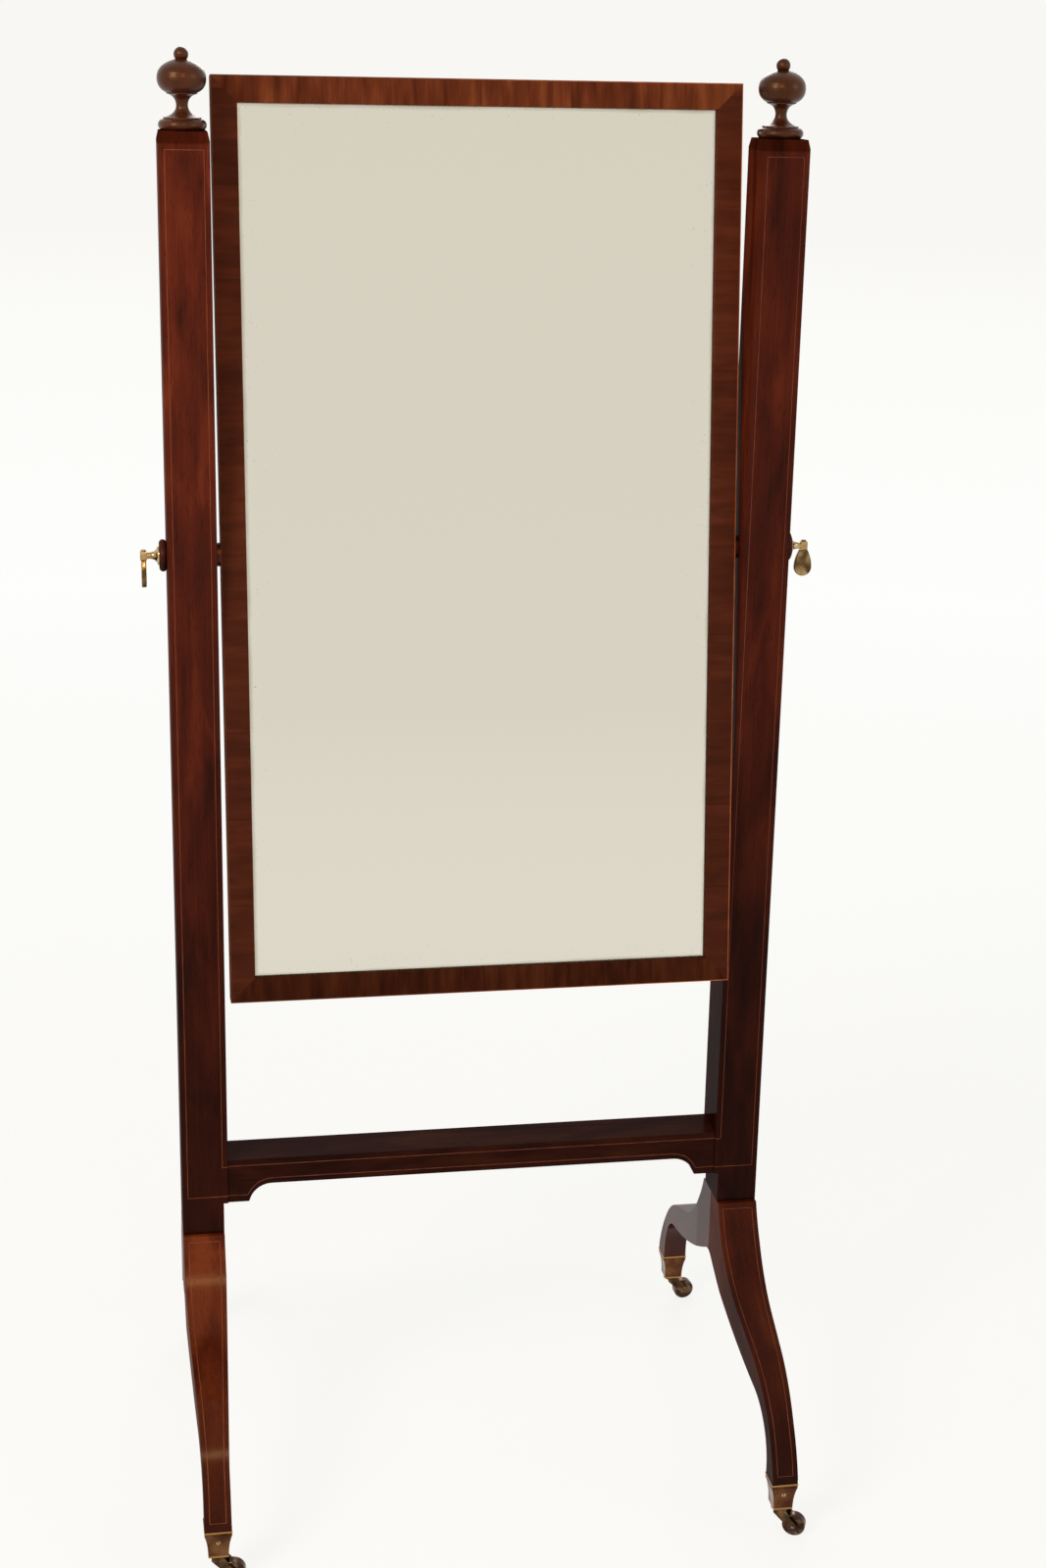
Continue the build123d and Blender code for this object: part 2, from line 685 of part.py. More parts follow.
for label, outline in member_outlines.items():
    with BuildPart() as member:
        points = [
            (x * (half_width - inner * frame_face), z * (half_height - inner * frame_face))
            for x, z, inner in outline
        ]
        with BuildSketch(swing_plane.offset(-front)):
            with BuildLine():
                Polyline(*points, close=True)
            make_face()
        extrude(amount=frame_thickness)
        outer_edges = member.edges().group_by(SortBy.LENGTH)[-1]
        fillet(outer_edges.sort_by(Axis(swing_plane.origin, swing_plane.z_dir))[-1], frame_arris)
        with BuildSketch(swing_plane.offset(glass_front)):
            Rectangle(2 * (sight_x + glass_rabbet), 2 * (sight_z + glass_rabbet))
        extrude(amount=-glass_thickness, mode=Mode.SUBTRACT)
        with BuildSketch(swing_plane.offset(glass_back)):
            Rectangle(2 * (sight_x + board_rabbet), 2 * (sight_z + board_rabbet))
        extrude(amount=-frame_thickness, mode=Mode.SUBTRACT)
        with BuildSketch(swing_plane.offset(glass_back)):
            with Locations(*board_screw_places):
                Circle(wood_screw_radius + press_fit)
        extrude(amount=board_screw_length - board_thickness, mode=Mode.SUBTRACT)
        if "stile" in label:
            side = outline[0][0]
            with BuildSketch(Plane.YZ.offset(side * half_width)):
                with Locations((0, pivot_z)):
                    Circle(screw_radius + moving_gap)
            extrude(amount=-side * (screw_reach + moving_gap), mode=Mode.SUBTRACT)
            with BuildSketch(stile_edge(side)):
                Rectangle(plate_length + 2 * joint_fit, plate_width + 2 * joint_fit)
            extrude(amount=-plate_thickness, mode=Mode.SUBTRACT)
            with BuildSketch(stile_edge(side)):
                with GridLocations(plate_screw_spacing, 0, 2, 1):
                    Circle(wood_screw_radius + press_fit)
            extrude(amount=-plate_screw_length, mode=Mode.SUBTRACT)
    save(member, label)

# Brass plates let into the stiles, which the thumb screws enter
for name, side in sides.items():
    with BuildPart() as plate:
        with BuildSketch(stile_edge(side)):
            Rectangle(plate_length, plate_width)
            Circle(screw_radius + running_fit, mode=Mode.SUBTRACT)
            with GridLocations(plate_screw_spacing, 0, 2, 1):
                Circle(wood_screw_radius + press_fit, mode=Mode.SUBTRACT)
        extrude(amount=-plate_thickness)
        with BuildSketch(stile_edge(side)):
            with GridLocations(plate_screw_spacing, 0, 2, 1):
                Circle(wood_screw_head_radius + press_fit)
        extrude(amount=-wood_screw_head, mode=Mode.SUBTRACT)
    save(plate, f"{name}_pivot_plate")

with BuildPart() as plate_screws:
    for side in sides.values():
        with BuildSketch(stile_edge(side)):
            with GridLocations(plate_screw_spacing, 0, 2, 1):
                Circle(wood_screw_radius)
        extrude(amount=-plate_screw_length)
        with BuildSketch(stile_edge(side)):
            with GridLocations(plate_screw_spacing, 0, 2, 1):
                Circle(wood_screw_head_radius)
        extrude(amount=-wood_screw_head)
save(plate_screws, "pivot_plate_screws")

# Silvered glass, the blocks that hold its edges, the backboard and its screws
with BuildPart() as glass:
    with BuildSketch(swing_plane.offset(glass_front)):
        Rectangle(2 * (sight_x + glass_lap), 2 * (sight_z + glass_lap))
    extrude(amount=-glass_thickness)
save(glass, "mirror_glass")

block_width = glass_rabbet - glass_lap - 2 * joint_fit
block_x = sight_x + (glass_lap + glass_rabbet) / 2
block_z = sight_z + (glass_lap + glass_rabbet) / 2
with BuildPart() as blocks:
    with BuildSketch(swing_plane.offset(glass_front)):
        with GridLocations(2 * block_x, 2 * block_spread_z, 2, 2):
            Rectangle(block_width, block_length)
        with GridLocations(2 * block_spread_x, 2 * block_z, 2, 2):
            Rectangle(block_length, block_width)
    extrude(amount=-glass_thickness)
save(blocks, "glass_blocks")

with BuildPart() as backboard:
    with BuildSketch(swing_plane.offset(glass_back)):
        Rectangle(2 * (sight_x + board_rabbet - joint_fit), 2 * (sight_z + board_rabbet - joint_fit))
        with Locations(*board_screw_places):
            Circle(wood_screw_radius + press_fit, mode=Mode.SUBTRACT)
    extrude(amount=-board_thickness)
save(backboard, "backboard")

with BuildPart() as board_screws:
    with BuildSketch(swing_plane.offset(board_back)):
        with Locations(*board_screw_places):
            Circle(wood_screw_radius)
    extrude(amount=board_screw_length)
    with BuildSketch(swing_plane.offset(board_back)):
        with Locations(*board_screw_places):
            Circle(wood_screw_head_radius)
    extrude(amount=-wood_screw_head)
save(board_screws, "backboard_screws")
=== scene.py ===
import bpy
import json
from math import cos, pi, radians, sin
from mathutils import Matrix, Vector


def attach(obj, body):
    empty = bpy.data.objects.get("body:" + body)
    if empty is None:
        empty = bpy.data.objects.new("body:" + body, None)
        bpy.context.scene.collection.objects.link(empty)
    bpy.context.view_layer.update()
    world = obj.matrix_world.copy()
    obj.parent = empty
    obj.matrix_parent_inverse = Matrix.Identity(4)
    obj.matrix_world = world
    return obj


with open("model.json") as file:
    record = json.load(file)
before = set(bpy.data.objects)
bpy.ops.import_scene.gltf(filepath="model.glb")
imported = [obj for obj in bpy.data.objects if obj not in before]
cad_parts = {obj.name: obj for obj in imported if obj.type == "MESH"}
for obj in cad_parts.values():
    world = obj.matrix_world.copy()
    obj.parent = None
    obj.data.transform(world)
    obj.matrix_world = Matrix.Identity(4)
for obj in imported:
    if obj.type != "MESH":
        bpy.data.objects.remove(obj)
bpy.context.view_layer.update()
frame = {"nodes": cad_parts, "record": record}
print("frame loaded:", len(frame["nodes"]), "nodes")

mm = 0.001
tilt = radians(6.44)          # how far the swing frame leans back at rest
pivotHeight = 1.0385
frameMiddle = Vector((0, 0, pivotHeight))
frameUp = Vector((0, sin(tilt), cos(tilt)))
frameFront = Vector((0, -cos(tilt), sin(tilt)))


def colour(code, factor=1.0):
    # an sRGB hex code as the linear colour that a socket takes
    parts = [int(code[i:i + 2], 16) / 255 for i in (1, 3, 5)]
    linear = [p / 12.92 if p <= 0.04045 else ((p + 0.055) / 1.055) ** 2.4 for p in parts]
    return (*[p * factor for p in linear], 1.0)


def add(tree, kind, links=None, stops=(), **settings):
    # one node with its settings, the stops of its ramp, and its inputs: each is a number, one
    # output of another node, or a node, which stands for its first output in use
    node = tree.nodes.new(kind)
    for key, value in settings.items():
        setattr(node, key, value)
    for i, (place, shade) in enumerate(stops):
        elements = node.color_ramp.elements
        element = elements[i] if i < len(elements) else elements.new(place)
        element.position, element.color = place, shade
    for key, value in (links or {}).items():
        named = [s for s in node.inputs if s.enabled and s.name == key]
        socket = named[0] if named else node.inputs[key]
        if isinstance(value, bpy.types.Node):
            value = next(s for s in value.outputs if s.enabled)
        if isinstance(value, bpy.types.NodeSocket):
            tree.links.new(value, socket)
        else:
            socket.default_value = value
    return node


def newMaterial(name):
    # an empty material, its node tree, and the socket that gives a point's place in metres
    material = bpy.data.materials.new(name)
    material.use_nodes = True
    tree = material.node_tree
    tree.nodes.clear()
    return material, tree, add(tree, "ShaderNodeTexCoord").outputs["Object"]


def close(material, surface):
    # the shader and the output that a material ends with
    shader = add(material.node_tree, "ShaderNodeBsdfPrincipled", surface)
    add(material.node_tree, "ShaderNodeOutputMaterial", {"Surface": shader})
    return material


def mottle(tree, place, size, detail=3.0, rough=0.5, twist=0.0):
    # a soft pattern whose marks are about size, in metres, along each local axis
    scaled = add(tree, "ShaderNodeMapping", {"Vector": place, "Scale": [1 / s for s in size]})
    return add(tree, "ShaderNodeTexNoise", {
        "Vector": scaled, "Scale": 1.0, "Detail": detail, "Roughness": rough, "Distortion": twist,
    })


def shaded(tree, place, wood, shades):
    # painted shade: darker ends, each given by its axis, the two places on it, and how light the
    # wood is there
    ends = add(tree, "ShaderNodeSeparateXYZ", {0: place}).outputs
    for axis, low, high, toLow, toHigh in shades:
        shade = add(tree, "ShaderNodeMapRange", {
            "Value": ends[axis],
            "From Min": low, "From Max": high, "To Min": toLow, "To Max": toHigh,
        })
        wood = add(tree, "ShaderNodeMix", {
            "Factor": 1.0, "A": wood, "B": shade,
        }, data_type="RGBA", blend_type="MULTIPLY")
    return wood


# French-polished mahogany: a thin hard gloss over dark red-brown wood, with ribbon figure,
# fine streaks along the grain and short dark pores that the polish has nearly filled
polish = {
    "rubbed": (0.26, 0.42),      # roughness where it is rubbed, and where it is not
    "rubbedRange": (0.3, 0.7),   # the part of the pattern in which one turns into the other
    "rubbedSize": (30 * mm, 30 * mm, 90 * mm),
    "gloss": (0.08, 0.11),       # weight and roughness of the polish
    "warmGloss": "#ffc08a",
    "dulledOver": 2 * mm,        # how soon the polish ends where it has gone dull
    "toneStops": (0.34, 0.50, 0.67),
    "streakSize": (2.6 * mm, 2.6 * mm, 160 * mm),
    "streakRelief": 0.4,
    "figureSize": (28 * mm, 28 * mm, 130 * mm),
    "figureShare": 0.78,
    "poreSize": (0.9 * mm, 0.9 * mm, 11 * mm),     # a real pore is finer, and wouldn't show
    "poreRange": (0.60, 0.70),
    "poreTone": "#9a7a6c",
    "poreShare": 0.4,
    "poreDepth": 0.05 * mm,
    "ringRelief": 0.5,
}


def polishedMahogany(name, tones, turn=(0, 0, 0), shades=(), figure=1.0, rings=None,
                     gloss=None, warm=0.0, dullAbove=None):
    # the grain runs along local Z once it is turned; rings give the axis of turning and the
    # spacing of the lathe's marks; above dullAbove the polish has no gloss
    material, tree, here = newMaterial(name)
    place = add(tree, "ShaderNodeMapping", {"Vector": here, "Rotation": turn})
    streaks = mottle(tree, place, polish["streakSize"], detail=4.0, rough=0.6, twist=0.25)
    figureSize = [s * figure for s in polish["figureSize"]]
    broad = mottle(tree, place, figureSize, detail=2.0, twist=0.6)
    mixed = add(tree, "ShaderNodeMix", {
        "Factor": polish["figureShare"], "A": streaks, "B": broad,
    })
    stops = zip(polish["toneStops"], map(colour, tones))
    wood = add(tree, "ShaderNodeValToRGB", {"Fac": mixed}, stops)
    pores = mottle(tree, place, polish["poreSize"], detail=1.0, rough=0.4)
    shallow, deep = polish["poreRange"]
    pitted = add(tree, "ShaderNodeMapRange", {
        "Value": pores, "From Min": shallow, "From Max": deep,
    })
    filled = add(tree, "ShaderNodeMath", {0: pitted, 1: polish["poreShare"]}, operation="MULTIPLY")
    wood = add(tree, "ShaderNodeMix", {
        "Factor": filled, "A": wood, "B": colour(polish["poreTone"]),
    }, data_type="RGBA", blend_type="MULTIPLY")
    # painted shade, as the shades give it
    wood = shaded(tree, here, wood, shades)
    ends = add(tree, "ShaderNodeSeparateXYZ", {0: here}).outputs
    raised = add(tree, "ShaderNodeMath", {
        0: streaks, 1: polish["streakRelief"],
    }, operation="MULTIPLY")
    height = add(tree, "ShaderNodeMath", {0: raised, 1: pitted}, operation="SUBTRACT")
    if rings:
        axis, spacing = rings
        turns = add(tree, "ShaderNodeMath", {
            0: ends[axis], 1: 2 * pi / spacing,
        }, operation="MULTIPLY")
        rib = add(tree, "ShaderNodeMath", {0: turns}, operation="SINE")
        height = add(tree, "ShaderNodeMath", {
            0: rib, 1: polish["ringRelief"], 2: height,
        }, operation="MULTIPLY_ADD")
    rubbed = mottle(tree, place, polish["rubbedSize"])
    start, end = polish["rubbedRange"]
    smooth, dull = polish["rubbed"]
    weight, coatRoughness = gloss or polish["gloss"]
    if dullAbove:
        weight = add(tree, "ShaderNodeMapRange", {
            "Value": ends[2], "From Min": dullAbove, "From Max": dullAbove + polish["dulledOver"],
            "To Min": weight, "To Max": 0.0,
        })
    return close(material, {
        "Base Color": wood,
        "Roughness": add(tree, "ShaderNodeMapRange", {
            "Value": rubbed, "From Min": start, "From Max": end, "To Min": smooth, "To Max": dull,
        }),
        "Normal": add(tree, "ShaderNodeBump", {"Height": height, "Distance": polish["poreDepth"]}),
        "Specular IOR Level": warm, "Specular Tint": colour(polish["warmGloss"]),
        "Coat Weight": weight, "Coat Roughness": coatRoughness,
    })


# Crossbanded mahogany veneer: short pieces laid side by side with the grain across the member,
# so that the figure crosses it in narrow light and dark bars, with a joint between the pieces
crossband = {
    "pieceLength": 92 * mm,
    "pieceShift": 3.0,           # how far apart in the pattern, in metres, two pieces can be cut
    "bandSize": (11 * mm, 40 * mm, 60 * mm),
    "fineSize": (2.4 * mm, 40 * mm, 40 * mm),
    "fineShare": 0.26,
    "fineRelief": 0.5,
    "toneStops": (0.30, 0.50, 0.70),
    "uneven": 0.16,              # how much one piece is lighter than another
    "jointWidth": 0.7 * mm,
    "jointEdge": 0.004,          # its soft edge, as a share of a piece
    "jointDepth": 0.30,
    "jointTone": "#594f4a",
    # painted shade darkens the frame towards its foot, between the two heights that follow
    "shadeFrom": -0.47,          # metres from the frame's middle, where it is darkest, and
    "shadeTo": 0.45,             # where it no longer is
    "rubbedSize": (30 * mm, 30 * mm, 60 * mm),
    "reliefDepth": 0.05 * mm,
    "gloss": (0.03, 0.13),
}
# brings the leaning frame upright, with its middle at the origin
stoodUp = {
    "Rotation": (tilt, 0, 0),
    "Location": (0, pivotHeight * sin(tilt), -pivotHeight * cos(tilt)),
}


def crossbandedMahogany(name, along, tones, low):
    # along is the frame's axis that the member follows, and low is how light its foot is under the
    # painted shade
    material, tree, here = newMaterial(name)
    place = add(tree, "ShaderNodeMapping", {"Vector": here, **stoodUp})
    parts = add(tree, "ShaderNodeSeparateXYZ", {0: place}).outputs
    run, across = (parts[2], parts[0]) if along == "z" else (parts[0], parts[2])
    steps = add(tree, "ShaderNodeMath", {
        0: run, 1: crossband["pieceLength"],
    }, operation="DIVIDE")
    piece = add(tree, "ShaderNodeMath", {0: steps}, operation="FLOOR")
    chance = add(tree, "ShaderNodeTexWhiteNoise", {"W": piece}, noise_dimensions="1D")
    moved = add(tree, "ShaderNodeMath", {
        0: chance, 1: crossband["pieceShift"], 2: run,
    }, operation="MULTIPLY_ADD")
    laid = add(tree, "ShaderNodeCombineXYZ", {0: moved, 1: parts[1], 2: across})
    bands = mottle(tree, laid, crossband["bandSize"], detail=2.0, twist=0.2)
    fine = mottle(tree, laid, crossband["fineSize"], rough=0.6)
    mixed = add(tree, "ShaderNodeMix", {"Factor": crossband["fineShare"], "A": bands, "B": fine})
    offset = crossband["uneven"] / 2
    uneven = add(tree, "ShaderNodeMapRange", {
        "Value": chance, "To Min": -offset, "To Max": offset,
    })
    mixed = add(tree, "ShaderNodeMath", {0: mixed, 1: uneven}, operation="ADD")
    stops = zip(crossband["toneStops"], map(colour, tones))
    wood = add(tree, "ShaderNodeValToRGB", {"Fac": mixed}, stops)
    seam = add(tree, "ShaderNodeMath", {0: steps, 1: 0.5}, operation="PINGPONG")
    half = crossband["jointWidth"] / crossband["pieceLength"] / 2
    joint = add(tree, "ShaderNodeMapRange", {
        "Value": seam, "From Min": half, "From Max": half + crossband["jointEdge"],
        "To Min": crossband["jointDepth"], "To Max": 0.0,
    })
    wood = add(tree, "ShaderNodeMix", {
        "Factor": joint, "A": wood, "B": colour(crossband["jointTone"]),
    }, data_type="RGBA", blend_type="MULTIPLY")
    paintedFootShade = (2, crossband["shadeFrom"], crossband["shadeTo"], low, 1.0)
    wood = shaded(tree, place, wood, (paintedFootShade,))
    raised = add(tree, "ShaderNodeMath", {
        0: fine, 1: crossband["fineRelief"],
    }, operation="MULTIPLY")
    height = add(tree, "ShaderNodeMath", {0: raised, 1: joint}, operation="SUBTRACT")
    rubbed = mottle(tree, place, crossband["rubbedSize"])
    start, end = polish["rubbedRange"]
    smooth, dull = polish["rubbed"]
    weight, coatRoughness = crossband["gloss"]
    return close(material, {
        "Base Color": wood,
        "Roughness": add(tree, "ShaderNodeMapRange", {
            "Value": rubbed, "From Min": start, "From Max": end, "To Min": smooth, "To Max": dull,
        }),
        "Normal": add(tree, "ShaderNodeBump", {
            "Height": height, "Distance": crossband["reliefDepth"],
        }),
        "Specular IOR Level": 0.0,
        "Coat Weight": weight, "Coat Roughness": coatRoughness,
    })


# Boxwood let into the mahogany and polished over with it, so it has taken its red
boxwood = {
    "patchSize": (14 * mm, 14 * mm, 26 * mm),
    "grainSize": (1 * mm, 1 * mm, 6 * mm),
    "toneStops": (0.35, 0.65),
    "reliefDepth": 0.04 * mm,
    "roughness": 0.35,
    "shine": 0.15,
}


def polishedBoxwood(name, tones, shades=()):
    material, tree, here = newMaterial(name)
    patches = mottle(tree, here, boxwood["patchSize"])
    grain = mottle(tree, here, boxwood["grainSize"], detail=2.0)
    stops = zip(boxwood["toneStops"], map(colour, tones))
    wood = add(tree, "ShaderNodeValToRGB", {"Fac": patches}, stops)
    return close(material, {
        "Base Color": shaded(tree, here, wood, shades),
        "Normal": add(tree, "ShaderNodeBump", {
            "Height": grain, "Distance": boxwood["reliefDepth"],
        }),
        "Roughness": boxwood["roughness"], "Specular IOR Level": boxwood["shine"],
    })


# Old lacquered brass, cast and filed or turned: yellow metal where hands rub it, and brown
# tarnish in patches, with fine scratches
brass = {
    "patchSize": 16 * mm,
    "patchRange": (0.35, 0.65),
    "toneStops": (0.30, 0.50, 0.72),
    "tarnishRougher": 0.08,
    "rubbedSmoother": 0.05,
    "scratchSize": (0.8 * mm, 3.2 * mm, 7.2 * mm),
    "scratchDepth": 0.02 * mm,
    "rimWearAndHighlight": "#b5894c",        # the moulded rims are painted bright: rubbed wear and a painted highlight
    "rimShare": 0.8,
}


def agedBrass(name, tones, roughness, patch=None, rims=()):
    # rims are bands painted bright, for rubbed wear and a painted highlight, each given by its
    # height and its half width
    material, tree, here = newMaterial(name)
    patchSize = (patch or brass["patchSize"],) * 3
    patches = mottle(tree, here, patchSize, twist=0.2)
    stops = zip(brass["toneStops"], map(colour, tones))
    metal = add(tree, "ShaderNodeValToRGB", {"Fac": patches}, stops)
    height = add(tree, "ShaderNodeSeparateXYZ", {0: here}).outputs[2]
    for level, half in rims:
        # painted highlight and rubbed wear along each rim
        near = add(tree, "ShaderNodeMath", {0: height, 1: level, 2: half}, operation="COMPARE")
        rubbed = add(tree, "ShaderNodeMath", {
            0: near, 1: brass["rimShare"],
        }, operation="MULTIPLY")
        metal = add(tree, "ShaderNodeMix", {
            "Factor": rubbed, "A": metal, "B": colour(brass["rimWearAndHighlight"]),
        }, data_type="RGBA")
    scratches = mottle(tree, here, brass["scratchSize"], detail=2.0, rough=0.6)
    worn = add(tree, "ShaderNodeMath", {0: scratches, 1: patches}, operation="ADD")
    start, end = brass["patchRange"]
    return close(material, {
        "Base Color": metal,
        "Roughness": add(tree, "ShaderNodeMapRange", {
            "Value": patches, "From Min": start, "From Max": end,
            "To Min": roughness + brass["tarnishRougher"],
            "To Max": roughness - brass["rubbedSmoother"],
        }),
        "Normal": add(tree, "ShaderNodeBump", {
            "Height": worn, "Distance": brass["scratchDepth"],
        }),
        "Metallic": 1.0,
    })


# Drawn steel pin, oiled and gone grey-brown
steel = {
    "stainSize": 3 * mm,
    "toneStops": (0.38, 0.62),
    "tones": ("#4a3c34", "#8d8780"),
    "roughness": (0.7, 0.1),     # in the stains, and on clean metal
    "reliefDepth": 0.03 * mm,
}


def oiledSteel(name):
    material, tree, here = newMaterial(name)
    stains = mottle(tree, here, (steel["stainSize"],) * 3, detail=4.0, rough=0.6)
    stops = zip(steel["toneStops"], map(colour, steel["tones"]))
    stained, clean = steel["roughness"]
    return close(material, {
        "Base Color": add(tree, "ShaderNodeValToRGB", {"Fac": stains}, stops),
        "Roughness": add(tree, "ShaderNodeMapRange", {
            "Value": stains, "To Min": stained, "To Max": clean,
        }),
        "Normal": add(tree, "ShaderNodeBump", {
            "Height": stains, "Distance": steel["reliefDepth"],
        }),
        "Metallic": 1.0,
    })


# Painted shade in a screw's cut: a dark bar that stands for the shadow in the slot, nearly black,
# dry and dull
slotShade = {
    "mottleSize": 0.5 * mm,
    "toneStops": (0.35, 0.65),
    "tones": ("#150d09", "#2a1c13"),
    "roughness": 0.85,
    "shine": 0.1,
}


def paintedSlotShade(name):
    material, tree, here = newMaterial(name)
    slotMottle = mottle(tree, here, (slotShade["mottleSize"],) * 3, detail=2.0)
    stops = zip(slotShade["toneStops"], map(colour, slotShade["tones"]))
    return close(material, {
        "Base Color": add(tree, "ShaderNodeValToRGB", {"Fac": slotMottle}, stops),
        "Roughness": slotShade["roughness"], "Specular IOR Level": slotShade["shine"],
    })


# Plate glass silvered on the back: a soft grey-gold reflection, with small dull specks and a
# thin brown bloom where the silvering has lifted at the edge, deepened there as painted shade
# from the frame's rebate
mirrorPlate = {
    "halfWidth": 0.2445,         # sight size inside the frame
    "halfHeight": 0.4475,
    "silver": "#ded9cb",
    "bloomAndShade": "#8d7c5f",
    "bloomAndShadeFrom": -3 * mm,        # the bloom and painted shade fade out over their width from here, inwards
    "bloomAndShadeWidth": 5 * mm,
    "bloomAndShadeShare": 0.65,
    "raggedSize": 60 * mm,
    "raggedDepth": 5 * mm,
    "speckSize": 2.2 * mm,
    "speckMargin": 60 * mm,      # specks are commoner this near the edge
    "speckLimits": (0.70, 0.84),      # how strong the pattern is at a speck: edge, middle
    "speckShare": 0.5,
    "waveSize": 160 * mm,
    "waveDepth": 0.12 * mm,
    "roughness": (0.015, 0.35),  # of the sound silver, and where it has lifted
}


def silveredPlate(name):
    material, tree, here = newMaterial(name)
    place = add(tree, "ShaderNodeMapping", {"Vector": here, **stoodUp})
    parts = add(tree, "ShaderNodeSeparateXYZ", {0: place}).outputs
    gaps = []
    for part, half in ((parts[0], mirrorPlate["halfWidth"]), (parts[2], mirrorPlate["halfHeight"])):
        out = add(tree, "ShaderNodeMath", {0: part}, operation="ABSOLUTE")
        gaps.append(add(tree, "ShaderNodeMath", {0: half, 1: out}, operation="SUBTRACT"))
    gap = add(tree, "ShaderNodeMath", {0: gaps[0], 1: gaps[1]}, operation="MINIMUM")
    wander = mottle(tree, place, (mirrorPlate["raggedSize"],) * 3, detail=4.0, rough=0.6)
    ragged = add(tree, "ShaderNodeMath", {
        0: wander, 1: -mirrorPlate["raggedDepth"], 2: gap,
    }, operation="MULTIPLY_ADD")
    # real bloom at the edge, with painted shade from the frame's rebate
    bloomAndShade = add(tree, "ShaderNodeMapRange", {
        "Value": ragged, "From Min": mirrorPlate["bloomAndShadeFrom"],
        "From Max": mirrorPlate["bloomAndShadeFrom"] + mirrorPlate["bloomAndShadeWidth"],
        "To Min": mirrorPlate["bloomAndShadeShare"], "To Max": 0.0,
    })
    specks = mottle(tree, place, (mirrorPlate["speckSize"],) * 3, detail=2.0)
    common, rare = mirrorPlate["speckLimits"]
    needed = add(tree, "ShaderNodeMapRange", {
        "Value": gap, "From Min": 0.0, "From Max": mirrorPlate["speckMargin"],
        "To Min": common, "To Max": rare,
    })
    foxed = add(tree, "ShaderNodeMath", {0: specks, 1: needed}, operation="GREATER_THAN")
    fox = add(tree, "ShaderNodeMath", {
        0: foxed, 1: mirrorPlate["speckShare"],
    }, operation="MULTIPLY")
    dull = add(tree, "ShaderNodeMath", {0: bloomAndShade, 1: fox}, operation="MAXIMUM")
    wave = mottle(tree, place, (mirrorPlate["waveSize"],) * 3, detail=1.0)
    sound, lifted = mirrorPlate["roughness"]
    return close(material, {
        "Base Color": add(tree, "ShaderNodeMix", {
            "Factor": dull, "A": colour(mirrorPlate["silver"]), "B": colour(mirrorPlate["bloomAndShade"]),
        }, data_type="RGBA"),
        "Roughness": add(tree, "ShaderNodeMapRange", {
            "Value": dull, "To Min": sound, "To Max": lifted,
        }),
        "Normal": add(tree, "ShaderNodeBump", {
            "Height": wave, "Distance": mirrorPlate["waveDepth"],
        }),
        "Metallic": 1.0,
    })


# Planed pine backboard, never polished: pale brown and dry, with wide soft grain, dust and a
# joint between its boards
pine = {
    "boardWidth": 164 * mm,
    "boardShift": 5.0,           # how far apart in the pattern, in metres, two boards can be cut
    "gapWidth": 1.2 * mm,
    "gapEdge": 0.002,            # its soft edge, as a share of a board
    "gapTone": "#241710",
    "grainSize": (9 * mm, 60 * mm, 420 * mm),
    "fineSize": (1.6 * mm, 60 * mm, 90 * mm),
    "fineShare": 0.24,
    "fineRange": (0.3, 0.7),
    "toneStops": (0.33, 0.50, 0.67),
    "tones": ("#7a5231", "#8d6540", "#9c744c"),
    "dustSize": 240 * mm,
    "dustRange": (0.4, 0.7),
    "dustShare": 0.45,
    "dustTone": "#8f7c69",
    "roughness": (0.72, 0.86),
    "shine": 0.2,
    "reliefDepth": 0.25 * mm,
}


def dryPine(name):
    material, tree, here = newMaterial(name)
    parts = add(tree, "ShaderNodeSeparateXYZ", {0: here}).outputs
    # one board is centred on the middle of the frame
    steps = add(tree, "ShaderNodeMath", {
        0: parts[0], 1: 1 / pine["boardWidth"], 2: 0.5,
    }, operation="MULTIPLY_ADD")
    board = add(tree, "ShaderNodeMath", {0: steps}, operation="FLOOR")
    chance = add(tree, "ShaderNodeTexWhiteNoise", {"W": board}, noise_dimensions="1D")
    moved = add(tree, "ShaderNodeMath", {
        0: chance, 1: pine["boardShift"], 2: parts[2],
    }, operation="MULTIPLY_ADD")
    laid = add(tree, "ShaderNodeCombineXYZ", {0: parts[0], 1: parts[1], 2: moved})
    grain = mottle(tree, laid, pine["grainSize"], detail=2.0, twist=1.2)
    fine = mottle(tree, laid, pine["fineSize"], rough=0.6)
    mixed = add(tree, "ShaderNodeMix", {"Factor": pine["fineShare"], "A": grain, "B": fine})
    stops = zip(pine["toneStops"], map(colour, pine["tones"]))
    wood = add(tree, "ShaderNodeValToRGB", {"Fac": mixed}, stops)
    thin, thick = pine["dustRange"]
    dust = add(tree, "ShaderNodeMapRange", {
        "Value": mottle(tree, here, (pine["dustSize"],) * 3),
        "From Min": thin, "From Max": thick, "To Max": pine["dustShare"],
    })
    seam = add(tree, "ShaderNodeMath", {0: steps, 1: 0.5}, operation="PINGPONG")
    half = pine["gapWidth"] / pine["boardWidth"] / 2
    joint = add(tree, "ShaderNodeMapRange", {
        "Value": seam, "From Min": half, "From Max": half + pine["gapEdge"],
        "To Min": 1.0, "To Max": 0.0,
    })
    for share, tone, how in ((dust, "dustTone", "MULTIPLY"), (joint, "gapTone", "MIX")):
        wood = add(tree, "ShaderNodeMix", {
            "Factor": share, "A": wood, "B": colour(pine[tone]),
        }, data_type="RGBA", blend_type=how)
    height = add(tree, "ShaderNodeMath", {0: fine, 1: joint}, operation="SUBTRACT")
    start, end = pine["fineRange"]
    smooth, dull = pine["roughness"]
    return close(material, {
        "Base Color": wood,
        "Roughness": add(tree, "ShaderNodeMapRange", {
            "Value": fine, "From Min": start, "From Max": end, "To Min": smooth, "To Max": dull,
        }),
        "Normal": add(tree, "ShaderNodeBump", {"Height": height, "Distance": pine["reliefDepth"]}),
        "Specular IOR Level": pine["shine"],
    })


